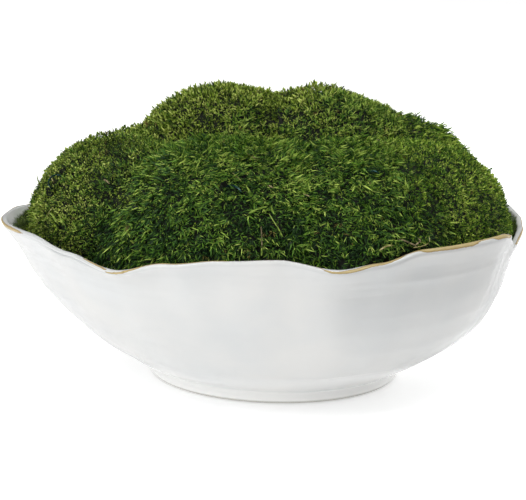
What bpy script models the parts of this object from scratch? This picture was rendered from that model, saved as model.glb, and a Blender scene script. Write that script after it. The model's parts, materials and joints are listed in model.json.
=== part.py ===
"""A clump of moss growing in a glazed bowl, at its real size: metres, +Z up.

Ten cushions of moss stand side by side on a mounded bed of soil. The soil fills a
wide, hand-formed bowl on a low foot ring, and wire pins tack the front cushions down.
The origin is on the surface that the bowl stands on, under the middle of its rim.
"""

import math

import bmesh
import bpy
from mathutils import Matrix, Vector, noise

MM = 0.001  # the dimensions below are in millimetres

# The bowl, before its rim is pulled out of round.
RIM_RADIUS = 189.0
RIM_HEIGHT = 118.0
WALL = 4.6  # thickness of the fired wall
FLOOR = 10.0  # height of the inside of the bowl's floor
FLOOR_RADIUS = 88.0
FLOOR_EASE = 3.0  # the wall's curve starts this far above the floor
FOOT_RADIUS = 90.5
FOOT_EDGE = 1.0  # bevel on the foot ring's two edges
FOOT_WIDTH = 8.0  # of the ring that the bowl stands on
FOOT_HEIGHT = 3.5  # of the hollow under the bowl, inside the ring
FOOT_OFFSET = 10.0  # the foot sits this far to the right of the rim's middle
LIP_STEPS = 4  # facets round the lip
TURNS = 60  # facets round the bowl

# The outside of the wall from just under the lip down to the foot: radius, height.
WALL_OUTSIDE = [
    (188.4, 113.0),
    (183.4, 105.0),
    (178.7, 94.0),
    (173.0, 80.5),
    (165.2, 67.0),
    (156.0, 54.5),
    (145.4, 42.5),
    (132.0, 31.0),
    (114.6, 20.0),
    (100.5, 11.0),
    (96.4, 6.0),
    (91.5, 3.0),
]

# The hand-pulled rim: azimuth in degrees from +X, height of the lip, reach past the round.
RIM = [
    (4, 118, 1),
    (16, 121, 2),
    (35, 121, -3),
    (55, 115, 2),
    (72, 112, 1),
    (90, 118, -2),
    (108, 122, -3),
    (128, 117, 2),
    (146, 111, 3),
    (161, 109, 0),
    (175, 113, -1),
    (194, 116, 1),
    (213, 118, -2),
    (227, 114, 0),
    (240, 109, 4),
    (251, 117, 1),
    (262, 121, -1),
    (273, 123, 0),
    (285, 117, 4),
    (293, 120, 3),
    (303, 126, 1),
    (316, 126, 2),
    (328, 126, 3),
    (333, 123, 0),
    (338, 116, -3),
    (344, 108, -5),
    (352, 109, -2),
    (358, 114, 0),
]

# The bed of soil: the top, from the middle out to the wall.
SOIL_TOP = [(0.0, 128.0), (60.0, 124.0), (115.0, 108.0), (148.0, 91.0), (164.0, 76.0)]
FIT_GAP = 0.5  # kept between pieces that touch
SHORTEST_EDGE = 0.05  # shorter ones, left by cutting, are closed up
SPACE_TOP = 260.0  # the moss may grow up to here

# The moss cushions: centre, half-widths across and front to back, rise, and turn in degrees.
# An earlier cushion keeps its shape, and a later one is pressed against it.
CUSHIONS = {
    "moss_front_left": ((-30, -76, 104), (87, 103, 78), 0),
    "moss_front_right": ((68, -74, 103), (68, 103, 78), 0),
    "moss_crown_left": ((-31, 32, 149), (70, 60, 62), 0),
    "moss_crown_right": ((41, 32, 144), (70, 60, 67), 0),
    "moss_left": ((-110, -14, 105), (61, 90, 69), 14),
    "moss_right": ((116, -32, 102), (65, 98, 75), -16),
    "moss_back_right": ((107, 52, 126), (57, 60, 62), 0),
    "moss_rear_left": ((-98, 76, 108), (70, 70, 60), -20),
    "moss_rear_middle": ((-18, 116, 110), (66, 60, 62), 0),
    "moss_rear_right": ((66, 116, 106), (66, 58, 60), 25),
}
CUSHION_ROWS = 5  # facets along each of the six sides of the cage that is rounded into a cushion
LUMP = 2.0  # height of the soft lumps on a cushion
LUMP_SPACING = 34.0  # from one lump to the next

# The wire pins, as seen from the front: x, z, the slope of the bail in degrees, and how far
# the bail's middle stands off the moss.
PINS = [
    (-147.0, 145.5, 61, 4.5),
    (-112.0, 142.0, -53, 1.6),
    (-20.0, 161.0, -38, 1.6),
    (38.0, 153.5, 83, 1.6),
    (70.5, 169.5, 32, 1.6),
]
PIN_WIRE = 1.2  # diameter
PIN_WIDTH = 11.0  # between the middles of the legs
PIN_LEG = 18.0
BAIL_STEPS = 6
SMOOTH_ANGLE = 40.0  # flatter edges than this, in degrees, are shaded smooth

# Colours are linear.
SOIL_BROWN = (0.035, 0.022, 0.013)
GLAZE_WHITE = (0.80, 0.81, 0.80)
MOSS_GREEN = (0.050, 0.105, 0.012)
PIN_TEAL = (0.010, 0.035, 0.045)


def material(name, colour, roughness, metallic=0.0):
    made = bpy.data.materials.new(name)
    made.use_nodes = True
    shader = made.node_tree.nodes["Principled BSDF"]
    shader.inputs["Base Color"].default_value = (*colour, 1.0)
    shader.inputs["Roughness"].default_value = roughness
    shader.inputs["Metallic"].default_value = metallic
    made.diffuse_color = (*colour, 1.0)
    return made


def collection(name):
    made = bpy.data.collections.new(name)
    bpy.context.scene.collection.children.link(made)
    return made


def add_object(name, data, home, finish=None):
    made = bpy.data.objects.new(name, data)
    home.objects.link(made)
    if finish:
        data.materials.append(finish)
    return made


def evaluated_mesh(obj):
    """The object's mesh with its modifiers, in world space."""
    bpy.context.view_layer.update()
    graph = bpy.context.evaluated_depsgraph_get()
    mesh = bpy.data.meshes.new_from_object(obj.evaluated_get(graph))
    mesh.transform(obj.matrix_world)
    return mesh


def around_rim(azimuth, column):
    """The rim table's height or reach at an azimuth in degrees, eased between its rows."""
    rows = [(row[0], row[column]) for row in RIM]
    rows.append((rows[0][0] + 360.0, rows[0][1]))
    azimuth = (azimuth - rows[0][0]) % 360.0 + rows[0][0]
    for (a0, v0), (a1, v1) in zip(rows, rows[1:]):
        if azimuth <= a1:
            t = (azimuth - a0) / (a1 - a0)
            return v0 + (v1 - v0) * t * t * (3 - 2 * t)


def pulled(x, y, z):
    """Where the pulled rim and the offset foot take a point of the round bowl, in millimetres."""
    radius = math.hypot(x, y)
    azimuth = math.degrees(math.atan2(y, x))
    up = min(1.0, z / RIM_HEIGHT)
    share = up * (radius / RIM_RADIUS) ** 2
    reach = 1.0 + share * around_rim(azimuth, 2) / RIM_RADIUS
    lift = share * (around_rim(azimuth, 1) - RIM_HEIGHT)
    return x * reach + FOOT_OFFSET * (1.0 - up * up), y * reach, z + lift


def inset(profile, distance):
    """A wall profile moved in towards the bowl's inside, at right angles to itself."""
    moved = []
    for i, (r, z) in enumerate(profile):
        r0, z0 = profile[max(i - 1, 0)]
        r1, z1 = profile[min(i + 1, len(profile) - 1)]
        length = math.hypot(r1 - r0, z1 - z0)
        moved.append((r + (z1 - z0) / length * distance, z - (r1 - r0) / length * distance))
    return moved


def turned(name, profile, home, finish=None):
    """Spins a profile, top to bottom down its outer side, and pulls it out of round."""
    mesh = bpy.data.meshes.new(name)
    points = [(r * MM, 0.0, z * MM) for r, z in profile]
    mesh.from_pydata(points, [(i, i + 1) for i in range(len(points) - 1)], [])
    spun = add_object(name + "_profile", mesh, home)
    screw = spun.modifiers.new("turn", "SCREW")
    screw.steps = screw.render_steps = TURNS
    screw.use_merge_vertices = True
    screw.merge_threshold = 0.00002
    mesh = evaluated_mesh(spun)
    bpy.data.objects.remove(spun)
    shape = bmesh.new()
    shape.from_mesh(mesh)
    bmesh.ops.triangulate(shape, faces=shape.faces, quad_method="FIXED")
    for vertex in shape.verts:
        x, y, z = (value / MM for value in vertex.co)
        vertex.co = Vector(pulled(x, y, z)) * MM
    shape.to_mesh(mesh)
    shape.free()
    return add_object(name, mesh, home, finish)


def bowl_profile():
    """From the middle of the inside floor, up the inside, over the lip and down to the foot."""
    inside = inset(WALL_OUTSIDE, WALL)
    (r_out, z_out), (r_in, z_in) = WALL_OUTSIDE[0], inside[0]
    lip_r, lip_z = (r_out + r_in) / 2, (z_out + z_in) / 2 + (RIM_HEIGHT - z_out - WALL / 2)
    lip = []
    for step in range(LIP_STEPS + 1):
        turn = math.pi * step / LIP_STEPS
        lip.append((lip_r - math.cos(turn) * WALL / 2, lip_z + math.sin(turn) * WALL / 2))
    floor = [(0.0, FLOOR), (FLOOR_RADIUS, FLOOR)]
    wall_up = [p for p in reversed(inside) if p[1] > FLOOR + FLOOR_EASE]
    foot_inside = FOOT_RADIUS - FOOT_WIDTH
    foot = [
        (FOOT_RADIUS, FOOT_EDGE),
        (FOOT_RADIUS - FOOT_EDGE, 0.0),
        (foot_inside + FOOT_EDGE, 0.0),
        (foot_inside, FOOT_EDGE),
        (foot_inside, FOOT_HEIGHT),
        (0.0, FOOT_HEIGHT),
    ]
    return floor + wall_up + lip + WALL_OUTSIDE + foot


def soil_profile():
    highest = SOIL_TOP[-1][1] - 2 * FIT_GAP
    side = [p for p in inset(WALL_OUTSIDE, WALL + FIT_GAP) if FLOOR + FLOOR_EASE < p[1] < highest]
    return SOIL_TOP + side[::2] + [(FLOOR_RADIUS, FLOOR + FIT_GAP), (0.0, FLOOR + FIT_GAP)]


def moss_space_profile():
    """The room that the moss has: inside the bowl, over the soil, and open above."""
    lowest = SOIL_TOP[-1][1] + 2 * FIT_GAP
    side = [p for p in inset(WALL_OUTSIDE, WALL + 2 * FIT_GAP) if p[1] > lowest]
    soil = [(r, z + FIT_GAP) for r, z in reversed(SOIL_TOP)]
    mouth = RIM_RADIUS - WALL
    return [(0.0, SPACE_TOP), (mouth, SPACE_TOP), (mouth, RIM_HEIGHT)] + side + soil


def raw_cushion(name, home, grow=0.0):
    """A lumpy, rounded cushion before its neighbours press on it, grown by so many millimetres."""
    (x, y, z), half_widths, turn = CUSHIONS[name]
    cage = bmesh.new()
    bmesh.ops.create_cube(cage, size=2.0)
    bmesh.ops.subdivide_edges(cage, edges=cage.edges[:], cuts=CUSHION_ROWS - 1, use_grid_fill=True)
    place = Matrix.Translation((x, y, z)) @ Matrix.Rotation(math.radians(turn), 4, "Z")
    for vertex in cage.verts:
        direction = vertex.co.normalized()
        on_cushion = Vector(d * half for d, half in zip(direction, half_widths))
        lump = noise.noise((place @ on_cushion) / LUMP_SPACING) * LUMP
        vertex.co = (place @ (on_cushion + direction * (lump + grow))) * MM
    bmesh.ops.recalc_face_normals(cage, faces=cage.faces)
    bmesh.ops.triangulate(cage, faces=cage.faces, quad_method="FIXED")
    mesh = bpy.data.meshes.new(name)
    cage.to_mesh(mesh)
    cage.free()
    return add_object(name, mesh, home)


def boolean(target, cutter, operation):
    """Applies one Boolean to the target's mesh. The exact solver fails where two cushions only graze."""
    step = target.modifiers.new(operation.lower(), "BOOLEAN")
    step.solver = "MANIFOLD"
    step.operation = operation
    step.object = cutter
    mesh = evaluated_mesh(target)
    target.modifiers.clear()
    target.data = mesh


def neighbours(vertex):
    return {edge.other_vert(vertex) for edge in vertex.link_edges}


def close_short_edges(solid):
    """Closes up, one by one, the short edges whose ends can meet with the surface kept whole."""
    while True:
        short = [e for e in solid.edges if e.calc_length() < SHORTEST_EDGE * MM]
        closable = [e for e in short if len(neighbours(e.verts[0]) & neighbours(e.verts[1])) == 2]
        if not closable:
            return
        bmesh.ops.collapse(solid, edges=closable[:1])


def keep_largest_piece(obj):
    """Drops the crumbs that cutting leaves beside the main body, and closes up its short edges."""
    solid = bmesh.new()
    solid.from_mesh(obj.data)
    bmesh.ops.triangulate(solid, faces=solid.faces)
    close_short_edges(solid)
    left, bodies = set(solid.verts), []
    while left:
        body, edge_of_body = set(), [left.pop()]
        while edge_of_body:
            vertex = edge_of_body.pop()
            body.add(vertex)
            near = neighbours(vertex)
            edge_of_body += [v for v in near if v in left]
            left.difference_update(near)
        bodies.append(body)
    bodies.sort(key=len)
    bmesh.ops.delete(solid, geom=[v for body in bodies[:-1] for v in body], context="VERTS")
    solid.to_mesh(obj.data)
    solid.free()


def build_moss(home, cutters):
    """Each cushion fills its share of the room over the soil, pressed by the earlier ones."""
    space = turned("moss_space", moss_space_profile(), cutters)
    made = {}
    for name in CUSHIONS:
        cushion = raw_cushion(name, home)
        boolean(cushion, space, "INTERSECT")
        for earlier in made:
            presser = raw_cushion(earlier, cutters, grow=FIT_GAP)
            presser.name = name + "_pressed_by_" + earlier
            boolean(cushion, presser, "DIFFERENCE")
        made[name] = cushion
    return made


def pin_wire(name, place, proud, diameter, leg, home):
    """A U of wire: two legs pointing down -Z and a bowed bail between them."""
    half = PIN_WIDTH / 2
    points = [(-half, -leg)]
    for step in range(BAIL_STEPS + 1):
        turn = math.pi * step / BAIL_STEPS
        points.append((-half * math.cos(turn), proud - half * (1 - math.sin(turn))))
    points.append((half, -leg))
    curve = bpy.data.curves.new(name, "CURVE")
    curve.dimensions = "3D"
    curve.bevel_depth = diameter / 2 * MM
    curve.bevel_resolution = 1
    curve.use_fill_caps = True
    line = curve.splines.new("POLY")
    line.points.add(len(points) - 1)
    for point, (across, along) in zip(line.points, points):
        point.co = (across * MM, 0.0, along * MM, 1.0)
    wire = add_object(name + "_wire", curve, home)
    wire.matrix_world = place
    mesh = evaluated_mesh(wire)
    bpy.data.objects.remove(wire)
    welded = bmesh.new()
    welded.from_mesh(mesh)
    bmesh.ops.remove_doubles(welded, verts=welded.verts, dist=0.01 * MM)
    bmesh.ops.recalc_face_normals(welded, faces=welded.faces)
    welded.to_mesh(mesh)
    welded.free()
    return add_object(name, mesh, home)


def build_pins(home, cutters, moss, finish):
    """Pushes each pin square into the cushion that the front view shows at its x and z."""
    for number, (x, z, slope, proud) in enumerate(PINS, start=1):
        eye, ahead = Vector((x * MM, -1.0, z * MM)), Vector((0.0, 1.0, 0.0))
        hits = []
        for cushion in moss.values():
            struck, spot, out, _ = cushion.ray_cast(eye, ahead)
            if struck:
                hits.append((spot.y, spot, out))
        _, spot, out = min(hits, key=lambda hit: hit[0])
        run = Vector((math.cos(math.radians(slope)), 0.0, math.sin(math.radians(slope))))
        along = (run - out * run.dot(out)).normalized()
        square = Matrix((along, out.cross(along), out)).transposed().to_4x4()
        place = Matrix.Translation(spot) @ square
        pin = pin_wire(f"pin_{number}", place, proud, PIN_WIRE, PIN_LEG, home)
        pin.data.materials.append(finish)
        pocket = pin_wire(
            f"pin_{number}_pocket", place, proud, PIN_WIRE + 2 * FIT_GAP, PIN_LEG + FIT_GAP, cutters
        )
        for cushion in moss.values():
            boolean(cushion, pocket, "DIFFERENCE")


def smooth(obj, angle):
    obj.data.shade_smooth()
    obj.data.set_sharp_from_angle(angle=math.radians(angle))


def main():
    for obj in list(bpy.data.objects):
        bpy.data.objects.remove(obj)
    home = collection("moss_clump")
    cutters = collection("cutters")

    glaze = material("white_glaze", GLAZE_WHITE, 0.18)
    soil = material("soil", SOIL_BROWN, 0.95)
    moss_green = material("moss", MOSS_GREEN, 0.8)
    lacquered_wire = material("lacquered_wire", PIN_TEAL, 0.35, 0.3)

    turned("bowl", bowl_profile(), home, glaze)
    turned("soil_bed", soil_profile(), home, soil)
    moss = build_moss(home, cutters)
    build_pins(home, cutters, moss, lacquered_wire)
    for cushion in moss.values():
        keep_largest_piece(cushion)
        cushion.data.materials.clear()
        cushion.data.materials.append(moss_green)

    for obj in home.objects:
        smooth(obj, SMOOTH_ANGLE)
    for cutter in cutters.objects:
        cutter.hide_render = True
        cutter.display_type = "WIRE"


main()
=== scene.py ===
import json
import math

import bmesh
import bpy
import numpy as np
from mathutils import Matrix, Vector, noise
from mathutils.bvhtree import BVHTree

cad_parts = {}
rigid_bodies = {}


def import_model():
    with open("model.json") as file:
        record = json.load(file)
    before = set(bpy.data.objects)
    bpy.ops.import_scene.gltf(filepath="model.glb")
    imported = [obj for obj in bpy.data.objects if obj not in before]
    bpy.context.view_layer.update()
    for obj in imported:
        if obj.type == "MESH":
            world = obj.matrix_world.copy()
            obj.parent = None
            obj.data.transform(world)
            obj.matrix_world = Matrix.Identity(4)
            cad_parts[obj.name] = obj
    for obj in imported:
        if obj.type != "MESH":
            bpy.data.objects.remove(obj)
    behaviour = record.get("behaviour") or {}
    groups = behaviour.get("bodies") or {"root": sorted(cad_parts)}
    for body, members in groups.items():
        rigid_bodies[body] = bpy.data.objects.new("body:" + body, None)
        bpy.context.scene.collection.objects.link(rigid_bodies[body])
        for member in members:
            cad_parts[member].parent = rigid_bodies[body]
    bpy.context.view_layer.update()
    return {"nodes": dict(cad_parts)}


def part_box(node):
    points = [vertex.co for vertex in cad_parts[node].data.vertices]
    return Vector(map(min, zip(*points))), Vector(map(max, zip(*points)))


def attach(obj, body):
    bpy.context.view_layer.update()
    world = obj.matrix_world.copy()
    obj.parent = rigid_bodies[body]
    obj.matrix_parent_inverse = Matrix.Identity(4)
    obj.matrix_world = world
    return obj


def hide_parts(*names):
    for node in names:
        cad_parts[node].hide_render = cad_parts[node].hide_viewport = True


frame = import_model()
scene = bpy.context.scene
mm = 0.001  # the dictionaries below give lengths in millimetres


def linear(code):
    # an sRGB hex colour as linear RGBA
    parts = [int(code[i:i + 2], 16) / 255 for i in (1, 3, 5)]
    return [p / 12.92 if p <= 0.04045 else ((p + 0.055) / 1.055) ** 2.4 for p in parts] + [1.0]


def perMetre(size):
    # the Scale of a texture whose features are so many millimetres apart
    return 1000.0 / size


def addNode(tree, kind, settings={}):
    # a setting is a property, a ramp's stops or an input: its value, or the socket or node that it comes from
    node = tree.nodes.new(kind)
    for name, value in settings.items():
        if isinstance(value, bpy.types.Node):
            value = next(socket for socket in value.outputs if socket.enabled)
        if name == "stops":
            stops = node.color_ramp.elements
            while len(stops) < len(value):
                stops.new(0.5)
            for stop, (place, code) in zip(stops, value):
                stop.position, stop.color = place, linear(code)
        elif isinstance(value, bpy.types.NodeSocket):
            tree.links.new(value, node.inputs[name])
        elif isinstance(name, str) and hasattr(node, name):
            setattr(node, name, value)
        else:
            node.inputs[name].default_value = value
    return node


def newMaterial(name, settings):
    made = bpy.data.materials.new(name)
    made.use_nodes = True
    shader = made.node_tree.nodes["Principled BSDF"]
    for socket, value in settings.items():
        shader.inputs[socket].default_value = value
    return made, made.node_tree, shader.inputs


def mottled(name, look):
    # a material whose colour goes through a ramp's stops over a noise of so many millimetres
    made, tree, shader = newMaterial(name, look["shader"])
    place = addNode(tree, "ShaderNodeTexCoord").outputs["Object"]
    grain = addNode(tree, "ShaderNodeTexNoise", {
        "Scale": perMetre(look["grain"]), "Detail": look["detail"], "Vector": place})
    shades = addNode(tree, "ShaderNodeValToRGB", {"stops": look["stops"], 0: grain})
    tree.links.new(shades.outputs[0], shader["Base Color"])
    return made


def newObject(name, mesh, *materials):
    made = bpy.data.objects.new(name, mesh)
    scene.collection.objects.link(made)
    for material in materials:
        mesh.materials.append(material)
    return made


def setAttribute(mesh, name, values, kind="FLOAT"):
    made = mesh.attributes.new(name, kind, "POINT")
    values = np.asarray(values, np.float32).ravel()
    made.data.foreach_set("vector" if kind == "FLOAT_VECTOR" else "value", values)


def smoothStep(low, high, values):
    t = np.clip((values - low) / (high - low), 0, 1)
    return t * t * (3 - 2 * t)


# The camera stands where the photograph's stood: a little above the rim, straight on to the front.
eye = {"target": (0, 0, 89.4), "distance": 1300, "elevation": 12.0, "roll": 1.4, "lens": 121.0,
       "sensor": 36.0, "frame": (526, 500)}
tilt, roll = math.radians(eye["elevation"]), math.radians(eye["roll"])
back = Vector((0, -math.cos(tilt), math.sin(tilt)))
right, up = Vector((1, 0, 0)), Vector((0, math.sin(tilt), math.cos(tilt)))
turnedRight = right * math.cos(roll) + up * math.sin(roll)
turnedUp = up * math.cos(roll) - right * math.sin(roll)
eyePoint = Vector(eye["target"]) + back * eye["distance"]
focal = eye["lens"] / eye["sensor"] * eye["frame"][0]  # in pixels of the photograph
middle = [side / 2 for side in eye["frame"]]
cameraData = bpy.data.cameras.new("camera")
cameraData.lens, cameraData.sensor_width = eye["lens"], eye["sensor"]
camera = bpy.data.objects.new("camera", cameraData)
axes = Matrix((turnedRight, turnedUp, back)).transposed().to_4x4()
camera.matrix_world = Matrix.Translation(eyePoint * mm) @ axes
scene.collection.objects.link(camera)
scene.camera = camera
scene.view_settings.view_transform = "Standard"

# A white studio: a key light high on the left, a large low one on the left that models the bowl's wall, a
# gridded one overhead that reaches the moss alone, and two flagged ones behind, for the edges.
studio = {
    "surround": 0.20, "aim": (0, 0, 0.1),
    "softBoxes": [
        {"name": "keySoftBox", "at": (-0.9, -1.2, 1.5), "size": 0.6, "watts": 11.2},
        {"name": "lowSoftBox", "at": (-1.72, -1.72, 0.45), "size": 1.6, "watts": 20.4},
        {"name": "topSoftBox", "at": (0.45, -0.25, 1.25), "size": 0.5, "watts": 0.52, "spread": 45},
        {"name": "rearSoftBox", "at": (1.1, 1.2, 0.4), "size": 0.8, "watts": 13, "flagged": True},
        {"name": "backSoftBox", "at": (0.3, 1.5, 1.4), "size": 1.2, "watts": 10, "flagged": True},
    ],
    "floorReach": 4.0, "floorDrop": 0.0002,
    # at so many metres from a place on the floor: the light it gives off there, how much of that the shaded
    # side keeps, and what the camera sees of it, darkened towards the foot as a painted contact shadow
    "floorGlow": {"from": (0.015, 0, 0), "stops": [
        (0.097, "#dadada"), (0.103, "#a6a6a6"), (0.50, "#a6a6a6")]},
    "floorSides": {"from": (0.3, -0.15, 0), "stops": [(0.10, "#bebebe"), (0.50, "#ffffff")]},
    "floorSeenWithPaintedShadow": {"from": (0.0115, -0.015, 0), "stops": [
        (0.0775, "#979797"), (0.082, "#acacac"), (0.093, "#b6b6b6"), (0.115, "#c0c0c0"), (0.16, "#cbcbcb"),
        (1.0, "#ffffff")]},
}
world = bpy.data.worlds.new("studio")
scene.world = world
world.use_nodes = True
worldTree = world.node_tree
surround = worldTree.nodes["Background"]
surround.inputs["Color"].default_value = linear("#ffffff")
surround.inputs["Strength"].default_value = studio["surround"]
paper = addNode(worldTree, "ShaderNodeBackground", {"Color": linear("#ffffff"), "Strength": 1.0})
sight = addNode(worldTree, "ShaderNodeLightPath")
shown = addNode(worldTree, "ShaderNodeMixShader", {0: sight.outputs["Is Camera Ray"], 1: surround, 2: paper})
worldTree.links.new(shown.outputs[0], worldTree.nodes["World Output"].inputs["Surface"])
for box in studio["softBoxes"]:
    light = bpy.data.lights.new(box["name"], "AREA")
    light.size, light.energy, light.spread = box["size"], box["watts"], math.radians(box.get("spread", 180))
    lamp = bpy.data.objects.new(box["name"], light)
    lamp.location = box["at"]
    lamp.visible_glossy = not box.get("flagged", False)
    lamp.rotation_euler = (Vector(studio["aim"]) - lamp.location).to_track_quat("-Z", "Y").to_euler()
    scene.collection.objects.link(lamp)

# White acrylic floor, lit from below as a light table is: it is overexposed, as it is in the photograph,
# and only the contact shadow shows, partly cast and partly painted into what the camera sees of the floor.
floorFinish, tree, shader = newMaterial("whiteAcrylicFloor", {
    "Base Color": linear("#e2e2e2"), "Roughness": 0.7, "Specular IOR Level": 0.0, "Emission Strength": 1.0})
place = addNode(tree, "ShaderNodeTexCoord").outputs["Object"]
lit = []
for part in ("floorGlow", "floorSides", "floorSeenWithPaintedShadow"):
    away = addNode(tree, "ShaderNodeVectorMath", {"operation": "DISTANCE", 0: place, 1: studio[part]["from"]})
    lit.append(addNode(tree, "ShaderNodeValToRGB", {
        "stops": studio[part]["stops"], 0: away.outputs["Value"]}))
given = addNode(tree, "ShaderNodeMix", {
    "data_type": "RGBA", "blend_type": "MULTIPLY", 0: 1.0, 6: lit[0], 7: lit[1]})
sight = addNode(tree, "ShaderNodeLightPath")
shine = addNode(tree, "ShaderNodeMix", {
    "data_type": "RGBA", 0: sight.outputs["Is Camera Ray"], 6: given, 7: lit[2]})
tree.links.new(shine.outputs[2], shader["Emission Color"])
reach = studio["floorReach"]
corners = [(-reach, -reach, 0), (reach, -reach, 0), (reach, reach, 0), (-reach, reach, 0)]
floorMesh = bpy.data.meshes.new("floor")
floorMesh.from_pydata(corners, [], [(0, 1, 2, 3)])
floor = newObject("floor", floorMesh, floorFinish)
floor.location.z = -studio["floorDrop"]
print("camera, lights and floor are set")

# The bowl, thrown and pulled out of round by hand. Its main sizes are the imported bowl's.
bowlForm = {
    "rimRadius": 189.0, "rimHeight": 118.0, "wall": 4.6, "columns": 360, "wallStep": 4.0, "lipStep": 0.7,
    "lipRows": 15, "floor": 10.0, "floorRadius": 88.0, "footRadius": 91.0, "footWidth": 8.0,
    "footHollow": 3.5,
    "outside": [(188.4, 113), (183.4, 105), (178.7, 94), (173, 80.5), (165.2, 67), (156, 54.5), (145.4, 42.5),
                (132, 31), (115, 20.2), (103.5, 13.2), (97.3, 9.9), (95.0, 8.9), (93.6, 7.6), (92.6, 4.6),
                (91.9, 2.2)],
    # rows of the section: radii on the floor and in the hollow, the foot's edges as offsets and heights, how
    # many lead up to the lip, the least drop from one to the next, and the wall's start above the floor
    "floorRows": [0.01, 20, 45, 70], "hollowRows": [60, 0.01],
    "footOutside": [(0, 1.0), (-0.35, 0.3), (-1, 0)], "footInside": [(1, 0), (0.3, 0.3), (0, 1)],
    "shoulderRows": {"outer": 4, "inner": 2}, "leastDrop": 0.4, "fillet": 3.0, "merge": 0.02,
    # how far the bowl leans to the right at each height
    "lean": [(0, 10), (12, 9.5), (40, 10.5), (72, 6.5), (118, 0)],
    # azimuth in degrees, height of the lip, reach past the round
    "rim": [(4, 118, 0), (16, 121, 0), (35, 121, -3), (55, 115, 2), (72, 112, 1), (90, 118, -2),
            (108, 122, -3), (128, 117, 2), (146, 111, 3), (161, 109, 0), (175, 113, -1), (194, 116, 1),
            (213, 118, -2), (227, 114, 0), (240, 109, 4), (251, 117, 1), (262, 121, -1), (273, 123, 0),
            (285, 117, 4), (293, 120, 3), (303, 126, 1), (316, 126, 2), (328, 126, 3), (333, 123, 0),
            (338, 116, -4), (344, 107, -6), (350, 108, -5), (357, 113.5, -1)],
    # the rolled lip: a bead with a crease under it, at these distances outwards from the crest
    "bead": {"at": 2.1, "width": 1.3, "bulge": 0.6, "least": 0.8, "swell": 0.2, "waves": (3, 7), "from": 40},
    # the crease's last value is the share of its depth by which it is tinted grey: painted shade
    "crease": {"at": 4.3, "width": 0.8, "depth": 1.1, "creaseShadeShare": 0.7},
    "creaseStrength": [
        (0, 0.4), (60, 0.6), (120, 0.5), (160, 0.5), (186, 0.3), (212, 0.3), (218, 0.45), (223, 0.9),
        (231, 0.8), (238, 0.4), (252, 0.2), (270, 0.15), (288, 0.2), (300, 0.35), (318, 0.35), (332, 0.2)],
    # the wall is uneven from so far below the lip, and from so far above the foot
    "unevenFrom": {"lip": (4, 16), "foot": (2, 10)},
    # the heights at which the painted light on the foot's ring and the darker grey at its very bottom fade in
    "footRing": (9.2, 7.6), "footLine": (1.4, 0.6),
    # how far below the lip the glaze inside carries a painted reflection of the moss, with painted shade;
    # outside, points are put far from that line
    "paintedReflectionLine": [(0, 2), (40, 5), (110, 6), (135, 1), (150, -1), (160, 0.5), (168, 5), (175, 7), (200, 8.5),
             (260, 9), (330, 4)],
    "farFromPaintedReflection": -20,
    # where the glaze has worn off the lip: azimuth, distance outwards from its crest, half-width, strength;
    # and how far from the crest there is wear at all
    "wearReach": 8,
    "wear": [(2, 2.8, 0.9, 1), (10, 2.6, 0.8, 0.7), (16, 2, 0.5, 0.2), (40, 0, 0.5, 0.2), (48, 0.5, 1.1, 1),
             (66, 1, 1.0, 1), (72, 0, 0.6, 0.3), (96, 0, 0.6, 0.4), (104, -0.5, 1.1, 1), (126, 0.5, 1.3, 1),
             (134, 1, 0.5, 0.3), (150, 1, 0.6, 0.3), (158, 0.5, 1.1, 1), (172, 1, 1.0, 0.9),
             (178, 2.2, 0.9, 1), (190, 2.5, 1.1, 1), (200, 2.7, 1.3, 1), (206, 2.9, 1.2, 0.9),
             (209, 3, 0.8, 0.4), (211, 3.2, 0.5, 0),
             (231, 0.2, 0.4, 0), (232.5, 0.3, 0.6, 0.9), (237.5, 0.5, 0.6, 0.9), (239, 3.3, 0.55, 0.9),
             (241.5, 2.9, 0.7, 1), (244, 1.6, 0.8, 1), (247, 0.4, 0.8, 1), (262, 0.4, 0.7, 0.8),
             (264, 0.2, 0.55, 0.42), (280, 0.2, 0.55, 0.42), (283, 3.0, 0.7, 0.9), (287, 2.4, 1.1, 1),
             (292, 1.3, 1.2, 1), (297, 0.5, 1.0, 0.9), (299, 0.2, 0.7, 0.45), (301.5, 0.6, 0.9, 0.6),
             (303.5, 1.5, 1.9, 1), (316, 1.5, 2.1, 1), (319, 0.2, 1.2, 1), (322.5, 0.2, 1.1, 1),
             (325, 1.8, 1.8, 1), (330, 2.5, 1.6, 1), (332.5, 2.6, 1.6, 0.8), (334.5, 1.6, 0.5, 0),
             (344, 1, 0.4, 0), (350, 2.8, 1.1, 0.9)],
}


def aroundRim(azimuth, rows, column):
    # a table's value at each azimuth, eased between its rows
    places = np.array([row[0] for row in rows] + [rows[0][0] + 360.0])
    values = np.array([row[column] for row in rows] + [rows[0][column]], float)
    azimuth = (azimuth - places[0]) % 360.0 + places[0]
    low = np.clip(np.searchsorted(places, azimuth, side="right") - 1, 0, len(rows) - 1)
    t = (azimuth - places[low]) / (places[low + 1] - places[low])
    return values[low] + (values[low + 1] - values[low]) * t * t * (3 - 2 * t)


def throughPoints(rows, step):
    # a smooth line through a profile's points, with a point about every step millimetres
    rows = np.array(rows, float)
    before = np.vstack([2 * rows[0] - rows[1], rows[:-1]])
    after = np.vstack([rows[1:], 2 * rows[-1] - rows[-2]])
    line = [rows[0]]
    for i in range(len(rows) - 1):
        a, b = rows[i], rows[i + 1]
        leave, arrive = (after[i] - before[i]) / 2, (after[i + 1] - before[i + 1]) / 2
        count = max(2, round(float(np.linalg.norm(b - a)) / step))
        for t in np.arange(1, count + 1) / count:
            line.append(a * (2 * t**3 - 3 * t**2 + 1) + leave * (t**3 - 2 * t**2 + t)
                        + b * (3 * t**2 - 2 * t**3) + arrive * (t**3 - t**2))
    return np.array(line)


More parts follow.
